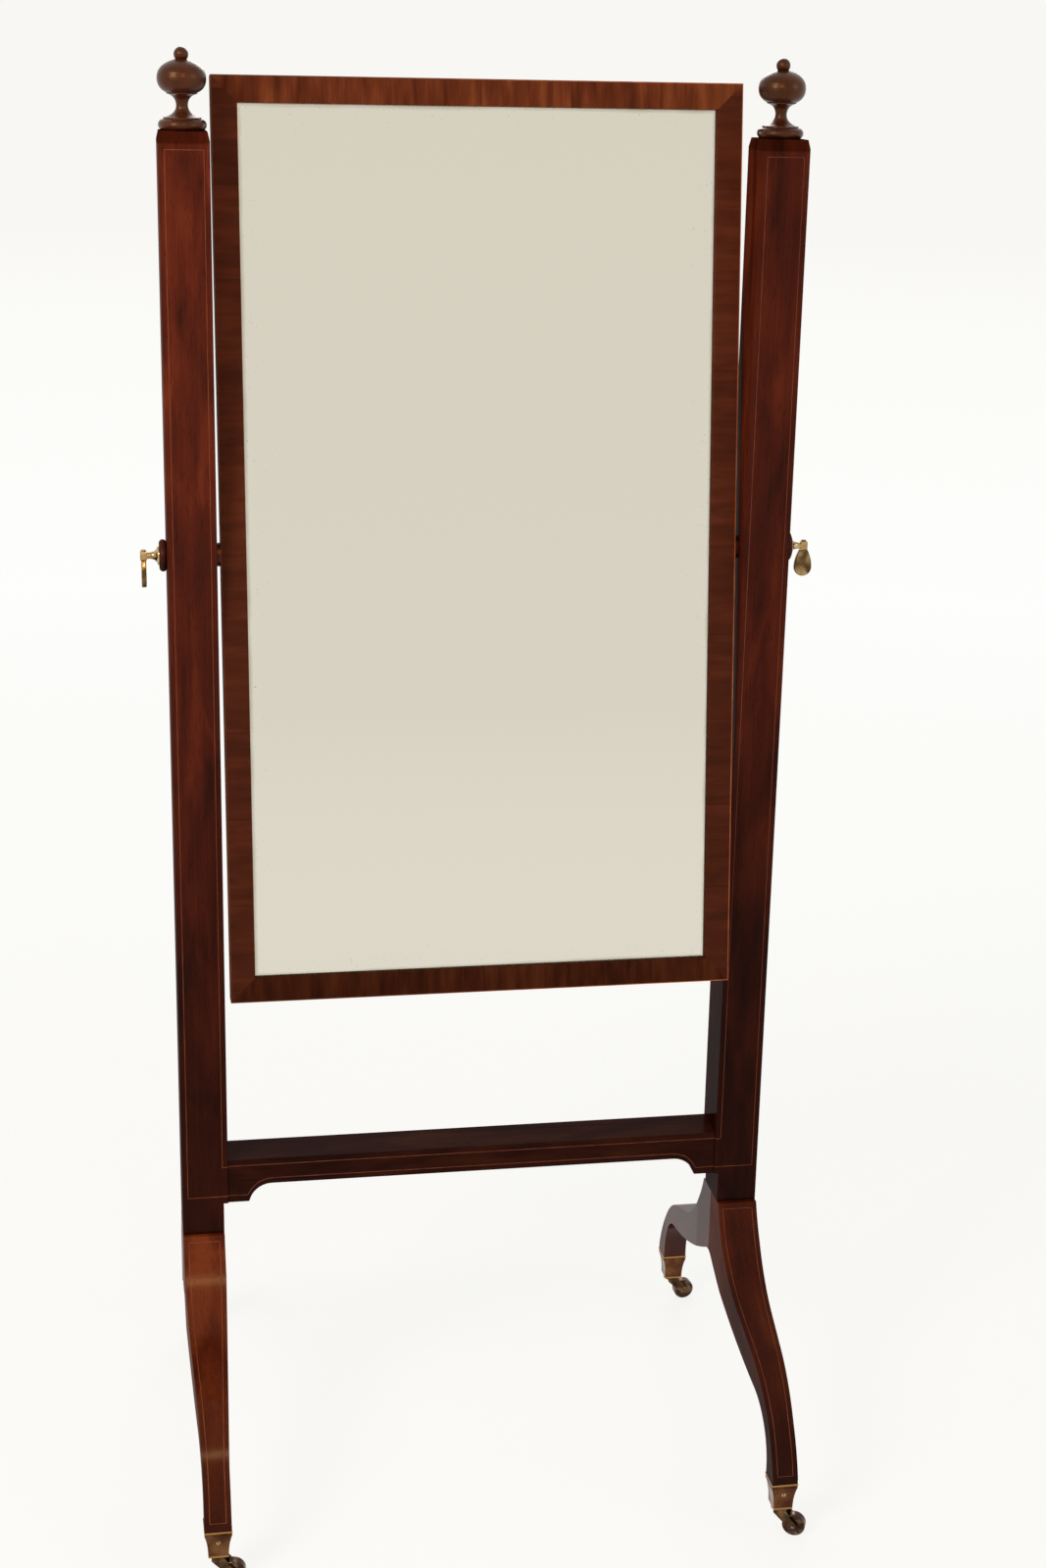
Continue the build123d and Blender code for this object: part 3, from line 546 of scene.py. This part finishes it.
# finishes for the CAD pieces, with the tones of each from dark to light
legLean = radians(49)                # turns the grain along a leg
headHeight = 1.4455                  # foot of a post's head, under the finial
# painted shade: the right-hand side of a piece is painted darker
paintedRightShade = (0, -0.2, 0.2, 1.0)      # wood on the right is darker, by the share that follows
finishes = {
    # painted shade darkens the posts towards the floor and on the head under the finial, where the
    # polish has also gone dull
    "post": polishedMahogany(
        "FrenchPolishedMahoganyPosts", ("#39170e", "#511f12", "#682b18"),
        shades=(
            (*paintedRightShade, 0.76), (2, 0.40, 1.15, 0.30, 1.0),
            (2, headHeight, headHeight + polish["dulledOver"], 1.0, 0.62),
        ),
        dullAbove=headHeight),
    # painted shade: the rail takes darker tones than the posts, for its place low on the stand
    "rail": polishedMahogany(
        "FrenchPolishedMahoganyRail", ("#1f0d08", "#2b120d", "#381b10"),
        turn=(0, pi / 2, 0), gloss=(0.03, 0.2)),
    # painted shade darkens the front legs towards the floor
    "frontLeg": polishedMahogany(
        "FrenchPolishedMahoganyFrontLegs", ("#42180c", "#5a220f", "#733417"),
        turn=(legLean, 0, 0), shades=((*paintedRightShade, 0.70), (2, 0.07, 0.27, 0.28, 1.0)),
        figure=1.3, gloss=(0.13, 0.17)),
    "rearLeg": polishedMahogany(
        "FrenchPolishedMahoganyRearLegs", ("#32120b", "#48190f", "#5f2816"),
        turn=(-legLean, 0, 0), shades=((*paintedRightShade, 0.75),), figure=1.3, gloss=(0.40, 0.17)),
    "finial": polishedMahogany(
        "TurnedMahoganyFinials", ("#2e130a", "#3d1b10", "#4d2615"),
        shades=((*paintedRightShade, 0.75),), rings=(2, 2.4 * mm), gloss=(0.06, 0.13), warm=0.38),
    "collar": polishedMahogany(
        "TurnedMahoganyCollars", ("#33180f", "#472218", "#583026"),
        turn=(0, pi / 2, 0), rings=(0, 1.6 * mm), gloss=(0.10, 0.16)),
    "stile": crossbandedMahogany(
        "CrossbandedMahoganyStiles", "z", ("#4a2417", "#562a1b", "#643220"), 0.62),
    "band": crossbandedMahogany(
        "CrossbandedMahoganyRails", "x", ("#4a2213", "#63301b", "#7a4124"), 0.36),
    "cap": agedBrass(
        "CastBrassCaps", ("#46291a", "#5f3a24", "#7c5636"), 0.26,
        rims=((65.2 * mm, 1.0 * mm), (34.3 * mm, 0.9 * mm))),
    "castor": agedBrass("CastBrassCastors", ("#33231a", "#4f3826", "#7a5c3c"), 0.30, 9 * mm),
    "wheel": agedBrass("TurnedBrassWheels", ("#2c1d16", "#422f24", "#75604d"), 0.26, 8 * mm),
    "thumb": agedBrass("TurnedBrassPivots", ("#876c48", "#aa8a5a", "#d8c096"), 0.18),
    "handle": agedBrass("CastBrassDropHandles", ("#3c2c1b", "#765c39", "#b59a6c"), 0.16, 11 * mm),
    "plate": agedBrass("TarnishedBrassWashers", ("#2f1710", "#3f2017", "#53301f"), 0.40),
    "steel": oiledSteel("OiledSteelPins"),
    # painted shade for the cuts in the screw heads
    "slotShade": paintedSlotShade("PaintedShadeInScrewSlots"),
    "mirror": silveredPlate("SilveredPlateGlass"),
    "pine": dryPine("PlanedPineBoards"),
    "line": polishedBoxwood(
        "PolishedBoxwoodLines", ("#6c3019", "#834425"), ((*paintedRightShade, 0.72),)),
    # painted shade: the rail's lines take darker tones than the others
    "railLine": polishedBoxwood("PolishedBoxwoodRailLines", ("#502717", "#6a3823")),
    # painted shade: the edging is darker towards the left
    "edgeLine": polishedBoxwood(
        "PolishedBoxwoodEdging", ("#85432a", "#a8603a"), ((0, -0.2, 0.2, 0.30, 1.0),)),
}
slotFinish = {
    "post_mahogany": "post", "rail_mahogany": "rail", "turned_mahogany": "finial",
    "frame_mahogany": "stile", "cap_brass": "cap", "castor_brass": "castor",
    "castor_wheel": "wheel", "steel_pins": "steel", "screw_brass": "thumb",
    "pivot_brass": "plate", "handle_brass": "handle", "silvered_glass": "mirror",
    "pine_backboard": "pine",
}
ownFinish = {
    "front_left_leg": "frontLeg", "front_right_leg": "frontLeg",
    "rear_left_leg": "rearLeg", "rear_right_leg": "rearLeg",
    "frame_top_rail": "band", "frame_bottom_rail": "band",
    "left_pivot_collar": "collar", "right_pivot_collar": "collar",
    "left_pivot_screw": "thumb", "right_pivot_screw": "thumb",
}
slots = {row["node"]: row["material_slot"] for row in frame["record"]["subparts"]}
for name, node in frame["nodes"].items():
    key = ownFinish.get(name) or slotFinish[slots[name]]
    node.data.materials.clear()
    node.data.materials.append(finishes[key])
print("finishes set on", len(slots), "CAD pieces")


def runTree(name, points, edges, tree, values, body):
    # gives the points and edges to a tree, and keeps what it makes as a plain mesh on a body
    source = bpy.data.meshes.new(name + "Source")
    source.from_pydata([tuple(p) for p in points], edges, [])
    carrier = bpy.data.objects.new(name + "Source", source)
    bpy.context.scene.collection.objects.link(carrier)
    modifier = carrier.modifiers.new("maker", "NODES")
    modifier.node_group = tree
    for item in tree.interface.items_tree:
        if item.in_out == "INPUT" and item.name in values:
            modifier[item.identifier] = values[item.name]
    made = carrier.evaluated_get(bpy.context.evaluated_depsgraph_get())
    mesh = bpy.data.meshes.new_from_object(made)
    bpy.data.objects.remove(carrier)
    piece = bpy.data.objects.new(name, mesh)
    bpy.context.scene.collection.objects.link(piece)
    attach(piece, body)
    return piece


def lineTree():
    # sweeps a round line along the edges of a mesh
    tree = bpy.data.node_groups.new("inlaidLine", "GeometryNodeTree")
    for label, kind in (
        ("Path", "NodeSocketGeometry"), ("Radius", "NodeSocketFloat"),
        ("Sides", "NodeSocketInt"), ("Finish", "NodeSocketMaterial"),
    ):
        tree.interface.new_socket(label, in_out="INPUT", socket_type=kind)
    tree.interface.new_socket("Line", in_out="OUTPUT", socket_type="NodeSocketGeometry")
    start = add(tree, "NodeGroupInput").outputs
    path = add(tree, "GeometryNodeMeshToCurve", {"Mesh": start["Path"]})
    section = add(tree, "GeometryNodeCurvePrimitiveCircle", {
        "Radius": start["Radius"], "Resolution": start["Sides"],
    })
    sweep = add(tree, "GeometryNodeCurveToMesh", {
        "Curve": path.outputs[0], "Profile Curve": section.outputs[0], "Fill Caps": True,
    })
    real = add(tree, "GeometryNodeRealizeInstances", {0: sweep.outputs[0]})
    painted = add(tree, "GeometryNodeSetMaterial", {
        "Geometry": real.outputs[0], "Material": start["Finish"],
    })
    add(tree, "NodeGroupOutput", {"Line": painted.outputs[0]})
    return tree


# inlaid lines on the fronts of the posts, the cross rail and the front legs
inlay = {
    "radius": 0.7 * mm,
    "sides": 8,
    "sunk": 0.5 * mm,            # centre of the line below the polished face
    "postFace": -27.5 * mm,
    "railFace": -25.5 * mm,
    "postInner": 281 * mm,       # the two upright lines on a post
    "postOuter": 319 * mm,
    "postEdge": 275 * mm,
    "postTop": 1441 * mm,
    "railUpper": 361 * mm,
    "railLower": 326 * mm,
    # round the rail's bracket end: out from the middle, and height, in mm
    "bracket": ((253.7, 325.5), (249.2, 333.0), (241.6, 340.3), (231.8, 343.8), (224.3, 344.5)),
}
lineSweep = lineTree()


def layLine(name, loops, finish, body):
    # loops: lists of points, each with whether it closes on itself
    points, edges = [], []
    for loop, closed in loops:
        first = len(points)
        points += loop
        edges += [(i, i + 1) for i in range(first, len(points) - 1)]
        if closed:
            edges.append((len(points) - 1, first))
    values = {"Radius": inlay["radius"], "Sides": inlay["sides"], "Finish": finishes[finish]}
    line = runTree(name, points, edges, lineSweep, values, body)
    for face in line.data.polygons:
        face.use_smooth = True


for label, side in (("left", -1), ("right", 1)):
    y = inlay["postFace"] + inlay["sunk"]
    route = [
        (inlay["postEdge"], inlay["railUpper"]), (inlay["postInner"], inlay["railUpper"]),
        (inlay["postInner"], inlay["postTop"]), (inlay["postOuter"], inlay["postTop"]),
        (inlay["postOuter"], inlay["railLower"]), (inlay["postEdge"], inlay["railLower"]),
    ]
    loop = [Vector((side * x, y, z)) for x, z in route]
    layLine(label + "_post_line", [(loop, False)], "line", "stand")

y = inlay["railFace"] + inlay["sunk"]
lower = [(inlay["postEdge"], inlay["railLower"])]
lower += [(x * mm, z * mm) for x, z in inlay["bracket"]]
lower += [(-x, z) for x, z in reversed(lower)]
upper = [(inlay["postEdge"], inlay["railUpper"]), (-inlay["postEdge"], inlay["railUpper"])]
loops = [([Vector((x, y, z)) for x, z in row], False) for row in (upper, lower)]
layLine("rail_lines", loops, "railLine", "stand")

# the front of a leg, in mm and degrees, as in the CAD
sweepCurve = {
    "heel": (33.0, 282.0),       # out from the middle of the post, and height
    "toe": (271.5, 72.3),
    "heading": -68.0,            # below level, at the heel
    "upperRadius": 160.0, "upperTurn": 48.0,
    "lowerRadius": 157.0, "lowerTurn": 53.0,
    "top": 276.0, "bottom": 75.5,                     # heights where the line ends
    "taperStart": 55.0, "taperEnd": 244.5,
    "inner": (280.0, 289.5), "outer": (325.0, 317.5),     # sides of the leg, heel and toe
    "inset": 5.5,                # from the sides to the line
    "steps": 24,
}


def legProfile(spec):
    # points down the front of a leg, each with the direction into the wood: two arcs that meet
    # in a tangent, each given by a point that it passes, its heading there, its radius, which
    # is negative for the hollow one, and the headings at its ends
    heel = spec["heading"]
    middle = heel + spec["upperTurn"]
    toe = middle - spec["lowerTurn"]
    rows = []
    for (y, z), known, radius, (start, end) in (
        (spec["heel"], heel, spec["upperRadius"], (heel, middle)),
        (spec["toe"], toe, -spec["lowerRadius"], (middle, toe)),
    ):
        a = radians(known)
        centreY, centreZ = y - radius * sin(a), z + radius * cos(a)
        for i in range(spec["steps"] + 1):
            b = radians(start + (end - start) * i / spec["steps"])
            point = (centreY + radius * sin(b), centreZ - radius * cos(b))
            rows.append((point, (sin(b), -cos(b))))
    return rows


def cutAt(rows, level):
    # the profile point at a height
    for (p, n), (q, _) in zip(rows, rows[1:]):
        if p[1] >= level >= q[1]:
            t = (p[1] - level) / (p[1] - q[1])
            return ((p[0] + t * (q[0] - p[0]), level), n)
    return rows[-1]


def edgeAt(edges, out):
    # where a side of the tapered leg stands, this far out from the post
    span = sweepCurve["taperEnd"] - sweepCurve["taperStart"]
    t = (out - sweepCurve["taperStart"]) / span
    return edges[0] + (edges[1] - edges[0]) * min(max(t, 0.0), 1.0)


profile = legProfile(sweepCurve)
top, bottom = sweepCurve["top"], sweepCurve["bottom"]
inside = [row for row in profile if bottom < row[0][1] < top]
inside = [cutAt(profile, top)] + inside + [cutAt(profile, bottom)]
sunk = inlay["sunk"] / mm
for label, side in (("left", -1), ("right", 1)):
    loop = []
    for edges, inset, rows in (
        (sweepCurve["inner"], sweepCurve["inset"], inside),
        (sweepCurve["outer"], -sweepCurve["inset"], inside[::-1]),
    ):
        for (out, z), (ny, nz) in rows:
            x = edgeAt(edges, out) + inset
            loop.append(Vector((side * x, -(out + ny * sunk), z + nz * sunk)) * mm)
    layLine("front_" + label + "_leg_line", [(loop, True)], "line", "stand")

# square boxwood edging let into the front corner of the swing frame, mitred like the frame
edging = {
    "halfWidth": 270.5 * mm,
    "halfHeight": 473.5 * mm,
    "face": 11 * mm,             # the frame's front, from its middle
    "width": 1.0 * mm,
    "proud": 0.05 * mm,
}
outer, inner = edging["proud"], -edging["width"]
section = ((outer, outer), (inner, outer), (inner, inner), (outer, inner))
points = [
    frameMiddle + Vector((sx * (edging["halfWidth"] + out), 0, 0))
    + frameUp * sz * (edging["halfHeight"] + out) + frameFront * (edging["face"] + forward)
    for sx, sz in ((-1, -1), (1, -1), (1, 1), (-1, 1)) for out, forward in section
]
faces = [
    (4 * i + j, 4 * k + j, 4 * k + (j + 1) % 4, 4 * i + (j + 1) % 4)
    for i, k in ((0, 1), (1, 2), (2, 3), (3, 0)) for j in range(4)
]
ring = bpy.data.meshes.new("frame_edge_line")
ring.from_pydata(points, [], faces)
ring.materials.append(finishes["edgeLine"])
piece = bpy.data.objects.new("frame_edge_line", ring)
bpy.context.scene.collection.objects.link(piece)
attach(piece, "swing_frame")
print("inlaid lines and edging made")


def slotTree():
    # one narrow bar across each screw head, each turned its own way
    tree = bpy.data.node_groups.new("screwSlots", "GeometryNodeTree")
    for label, kind in (
        ("Heads", "NodeSocketGeometry"), ("Length", "NodeSocketFloat"),
        ("Width", "NodeSocketFloat"), ("Depth", "NodeSocketFloat"),
        ("Facing", "NodeSocketVector"), ("Seed", "NodeSocketInt"),
        ("Finish", "NodeSocketMaterial"),
    ):
        tree.interface.new_socket(label, in_out="INPUT", socket_type=kind)
    tree.interface.new_socket("Slots", in_out="OUTPUT", socket_type="NodeSocketGeometry")
    start = add(tree, "NodeGroupInput").outputs
    size = add(tree, "ShaderNodeCombineXYZ", {
        0: start["Length"], 1: start["Width"], 2: start["Depth"],
    })
    bar = add(tree, "GeometryNodeMeshCube", {"Size": size.outputs[0]})
    chance = add(tree, "FunctionNodeRandomValue", {"Seed": start["Seed"]}, data_type="FLOAT")
    angle = add(tree, "ShaderNodeMath", {0: chance, 1: pi}, operation="MULTIPLY")
    flat = add(tree, "FunctionNodeAlignRotationToVector", {"Vector": start["Facing"]}, axis="Z")
    spin = add(tree, "FunctionNodeAxisAngleToRotation", {"Axis": (0, 0, 1), "Angle": angle})
    turn = add(tree, "FunctionNodeRotateRotation", {
        "Rotation": flat.outputs[0], "Rotate By": spin.outputs[0],
    }, rotation_space="LOCAL")
    laid = add(tree, "GeometryNodeInstanceOnPoints", {
        "Points": start["Heads"], "Instance": bar.outputs[0], "Rotation": turn.outputs[0],
    })
    real = add(tree, "GeometryNodeRealizeInstances", {0: laid.outputs[0]})
    painted = add(tree, "GeometryNodeSetMaterial", {
        "Geometry": real.outputs[0], "Material": start["Finish"],
    })
    add(tree, "NodeGroupOutput", {"Slots": painted.outputs[0]})
    return tree


# dark bars of painted shade for the cuts in the heads of the backboard screws and of the screws in
# the toe caps
heads = {
    "width": 0.8 * mm,
    "depth": 0.3 * mm,
    "proud": 0.03 * mm,
    "boardHead": 5.2 * mm,       # length of a cut
    "boardFace": -6.2 * mm,      # the heads, from the middle of the leaning frame
    "boardSide": 255.5 * mm,
    "boardHeights": (-350 * mm, 150 * mm, 350 * mm),
    "boardEnd": 458.5 * mm,
    "boardSpread": 150 * mm,
    "boardSeed": 4,
    "capHead": 4.4 * mm,
    "capAcross": 303.5 * mm,
    "capOut": 269.19 * mm,
    "capHeight": 51.5 * mm,
    "capSeeds": (6, 8),
}
cutter = slotTree()
sink = heads["depth"] / 2 - heads["proud"]
spots = [(x * heads["boardSide"], z) for x in (-1, 1) for z in heads["boardHeights"]]
spots += [(x * heads["boardSpread"], z * heads["boardEnd"]) for x in (-1, 1) for z in (-1, 1)]
back = frameFront * (heads["boardFace"] + sink)
places = [frameMiddle + Vector((x, 0, 0)) + frameUp * z + back for x, z in spots]
# the bars take the painted shade of a screw's cut
values = {
    "Length": heads["boardHead"], "Width": heads["width"], "Depth": heads["depth"],
    "Facing": -frameFront, "Seed": heads["boardSeed"], "Finish": finishes["slotShade"],
}
runTree("board_screw_slots", places, [], cutter, values, "swing_frame")
for label, way, seed in zip(("front", "rear"), (-1, 1), heads["capSeeds"]):
    y = way * (heads["capOut"] - sink)
    places = [(x * heads["capAcross"], y, heads["capHeight"]) for x in (-1, 1)]
    values.update({"Length": heads["capHead"], "Facing": Vector((0, way, 0)), "Seed": seed})
    runTree(label + "_cap_screw_slots", places, [], cutter, values, "stand")
print("screw slots made")


stage = {
    "floorSize": 60.0,
    "floor": "#f8f7f5",
    "fibreSize": 40 * mm,
    "fibreShade": 0.985,
    "roughness": 0.95,
    "lift": 0.84,                # share of the floor's look that is plain paper white
    "liftRange": (1.2, 4.5),     # metres from the middle over which that share grows to all
    "paper": "#fefefc",
    "backdrop": "#f8f7f4",       # the paper far off, and the wall that it runs into
    "backdropRange": (4.0, 18.0),
    "backdropTop": "#f1efe9",
    "topHeight": 0.55,           # how far up the wall its top tone is reached, with 1 overhead
    "ambient": 0.44,
    "ambientTone": "#fffaf2",
}


def whiteRays(tree):
    # camera, mirror and glass rays see the pale backdrop itself
    rays = add(tree, "ShaderNodeLightPath")
    seen = rays.outputs["Is Camera Ray"]
    for kind in ("Is Glossy Ray", "Is Transmission Ray"):
        seen = add(tree, "ShaderNodeMath", {0: seen, 1: rays.outputs[kind]}, operation="MAXIMUM")
    return seen


# Seamless matt paper, which shows only a soft shadow
def seamlessPaper():
    material, tree, here = newMaterial("SeamlessPaper")
    fibres = mottle(tree, here, (stage["fibreSize"],) * 3, detail=4.0)
    stops = ((0.3, colour(stage["floor"], stage["fibreShade"])), (0.7, colour(stage["floor"])))
    sheet = add(tree, "ShaderNodeValToRGB", {"Fac": fibres}, stops)
    paper = add(tree, "ShaderNodeBsdfPrincipled", {
        "Base Color": sheet, "Roughness": stage["roughness"], "Specular IOR Level": 0.0,
    })
    away = add(tree, "ShaderNodeVectorMath", {0: here}, operation="LENGTH")
    near, distant = stage["backdropRange"]
    far = add(tree, "ShaderNodeMapRange", {"Value": away, "From Min": near, "From Max": distant})
    tone = add(tree, "ShaderNodeMix", {
        "Factor": far, "A": colour(stage["paper"]), "B": colour(stage["backdrop"]),
    }, data_type="RGBA")
    glow = add(tree, "ShaderNodeEmission", {"Color": tone, "Strength": 1.0})
    start, end = stage["liftRange"]
    lift = add(tree, "ShaderNodeMapRange", {
        "Value": away, "From Min": start, "From Max": end, "To Min": stage["lift"], "To Max": 1.0,
    })
    share = add(tree, "ShaderNodeMath", {0: whiteRays(tree), 1: lift}, operation="MULTIPLY")
    mixed = add(tree, "ShaderNodeMixShader", {0: share, 1: paper, 2: glow})
    add(tree, "ShaderNodeOutputMaterial", {"Surface": mixed})
    return material


half = stage["floorSize"] / 2
corners = [(-half, -half, 0), (half, -half, 0), (half, half, 0), (-half, half, 0)]
sheetMesh = bpy.data.meshes.new("floor")
sheetMesh.from_pydata(corners, [], [(0, 1, 2, 3)])
floor = bpy.data.objects.new("floor", sheetMesh)
bpy.context.scene.collection.objects.link(floor)
sheetMesh.materials.append(seamlessPaper())

world = bpy.data.worlds.new("paleStudio")
bpy.context.scene.world = world
world.use_nodes = True
tree = world.node_tree
tree.nodes.clear()
looking = add(tree, "ShaderNodeTexCoord").outputs["Generated"]
up = add(tree, "ShaderNodeSeparateXYZ", {0: looking}).outputs[2]
stops = ((0.0, colour(stage["backdrop"])), (stage["topHeight"], colour(stage["backdropTop"])))
sky = add(tree, "ShaderNodeValToRGB", {"Fac": up}, stops)
seenLight = add(tree, "ShaderNodeBackground", {"Color": sky, "Strength": 1.0})
softLight = add(tree, "ShaderNodeBackground", {
    "Color": colour(stage["ambientTone"]), "Strength": stage["ambient"],
})
mixed = add(tree, "ShaderNodeMixShader", {0: whiteRays(tree), 1: softLight, 2: seenLight})
add(tree, "ShaderNodeOutputWorld", {"Surface": mixed})

lamps = {
    "key": {
        "at": (-2.1, -1.9, 2.5), "aim": (0, 0, 0.9), "size": (1.0, 1.5),
        "watts": 54, "tone": "#fff6ea",
    },
    "fill": {
        "at": (3.0, -2.2, 2.4), "aim": (0, 0, 0.8), "size": (1.6, 1.6),
        "watts": 18, "tone": "#f5f7ff",
    },
    "top": {
        "at": (-0.2, -1.66, 2.16), "aim": (-0.3, -0.1, 0.2), "size": (0.36, 0.2),
        "watts": 7, "tone": "#ffc585",
    },
    "rear": {
        "at": (0.6, 3.2, 2.8), "aim": (0, 0, 0.9), "size": (1.8, 1.4),
        "watts": 40, "tone": "#ffffff",
    },
}
for label, spec in lamps.items():
    data = bpy.data.lights.new(label, "AREA")
    data.shape = "RECTANGLE"
    data.size, data.size_y = spec["size"]
    data.energy = spec["watts"]
    data.color = colour(spec["tone"])[:3]
    lamp = bpy.data.objects.new(label, data)
    lamp.location = spec["at"]
    towards = Vector(spec["aim"]) - Vector(spec["at"])
    lamp.rotation_euler = towards.to_track_quat("-Z", "Y").to_euler()
    bpy.context.scene.collection.objects.link(lamp)

view = {
    "at": (-0.3955, -2.4590, 1.5533),
    "yaw": 10.258, "pitch": 17.161, "roll": 1.199,     # degrees: to the right, down, clockwise
    "focal": 2475.05,            # focal length, in pixels of a picture this tall
    "tall": 1600,
    "sensor": 36.0,
}
yaw, pitch, roll = (radians(view[k]) for k in ("yaw", "pitch", "roll"))
forward = Vector((sin(yaw) * cos(pitch), cos(yaw) * cos(pitch), -sin(pitch)))
right = Vector((cos(yaw), -sin(yaw), 0))
above = right.cross(forward)
tiltedRight = cos(roll) * right + sin(roll) * above
tiltedUp = -sin(roll) * right + cos(roll) * above
facing = Matrix((tiltedRight, tiltedUp, -forward)).transposed().to_4x4()
cameraData = bpy.data.cameras.new("camera")
cameraData.sensor_fit = "VERTICAL"
cameraData.sensor_height = view["sensor"]
cameraData.lens = view["focal"] / view["tall"] * view["sensor"]
camera = bpy.data.objects.new("camera", cameraData)
camera.matrix_world = Matrix.Translation(view["at"]) @ facing
bpy.context.scene.collection.objects.link(camera)
bpy.context.scene.camera = camera
bpy.context.scene.view_settings.view_transform = "Standard"
print("stage, light and camera set")
